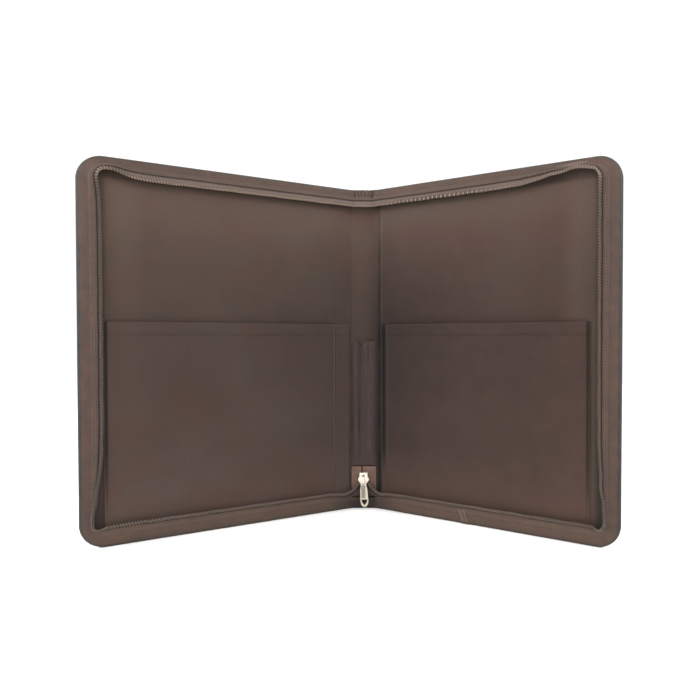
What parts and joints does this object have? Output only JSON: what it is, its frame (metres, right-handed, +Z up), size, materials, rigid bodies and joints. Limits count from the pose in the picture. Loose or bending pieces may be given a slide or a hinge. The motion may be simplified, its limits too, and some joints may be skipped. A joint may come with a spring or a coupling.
{
  "type": "portfolio case",
  "caption": "Zip-around leather document case standing open like a book, with a pocket in each lined cover, a pen sleeve on the spine and a slider with a hinged pull.",
  "frame": {"origin": "middle of the spine's bottom edge, midway between the two fold lines, on the surface the case stands on", "axes": "+Z up along the spine and both fold lines; +X towards the right cover; -Y towards the open side, where the covers' free edges are"},
  "size_m": [0.4746, 0.147, 0.345],
  "materials": {
    "cover_leather": "brown full-grain leather, satin, fine pebble grain",
    "gusset_leather": "brown leather strip, satin, slightly redder along its middle",
    "tab_leather": "reddish-brown leather, satin",
    "board": "matt stiffener sheet, hidden",
    "lining": "brown woven lining, matt",
    "pocket_cloth": "brown woven lining, matt",
    "sleeve_cloth": "dark brown woven cloth, creased",
    "zip_tape": "brown woven zip tape",
    "zip_coil": "brown nylon coil, slight sheen",
    "slider_metal": "pale nickel plate, satin"
  },
  "bodies": {
    "spine": {"spine_outer_leather": "cover_leather", "spine_board": "board", "spine_lining": "lining", "spine_top_gusset": "gusset_leather", "spine_top_tape": "zip_tape", "spine_top_coil": "zip_coil", "spine_bottom_gusset": "gusset_leather", "left_tail_tape": "zip_tape", "right_tail_tape": "zip_tape", "left_tail_coil": "zip_coil", "right_tail_coil": "zip_coil", "zip_end_tab": "tab_leather", "zip_tail": "zip_tape", "pen_sleeve": "sleeve_cloth"},
    "left_cover": {"left_outer_leather": "cover_leather", "left_board": "board", "left_lining": "lining", "left_gusset": "gusset_leather", "left_zip_tape": "zip_tape", "left_zip_coil": "zip_coil", "left_pocket": "pocket_cloth"},
    "right_cover": {"right_outer_leather": "cover_leather", "right_board": "board", "right_lining": "lining", "right_gusset": "gusset_leather", "right_zip_tape": "zip_tape", "right_zip_coil": "zip_coil", "right_pocket": "pocket_cloth", "right_gusset_tail": "gusset_leather"},
    "zip_slider": {"slider_body": "slider_metal", "slider_bridge": "slider_metal"},
    "pull": {"pull_tab": "slider_metal"}
  },
  "joints": [
    {"name": "left_cover_hinge", "type": "hinge", "parent": "spine", "child": "left_cover", "pos_m": [-0.0135, 0, 0.1725], "axis": [0, 0, 1], "range_deg": [-32.5, 57.5], "deforming": ["spine_top_gusset", "spine_top_tape", "spine_top_coil", "spine_bottom_gusset", "left_tail_tape", "left_tail_coil"]},
    {"name": "right_cover_hinge", "type": "hinge", "parent": "spine", "child": "right_cover", "pos_m": [0.0135, 0, 0.1725], "axis": [0, 0, -1], "range_deg": [-32.5, 57.5], "deforming": ["spine_top_gusset", "spine_top_tape", "spine_top_coil", "spine_bottom_gusset", "right_tail_tape", "right_tail_coil"]},
    {"name": "slider_travel", "type": "slide", "parent": "spine", "child": "zip_slider", "axis": [0, 0, 1], "range_m": [-0.003, 0]},
    {"name": "pull_swing", "type": "hinge", "parent": "zip_slider", "child": "pull", "pos_m": [0, -0.0103, 0.0304], "axis": [-1, 0, 0], "range_deg": [0, 130]}
  ]
}
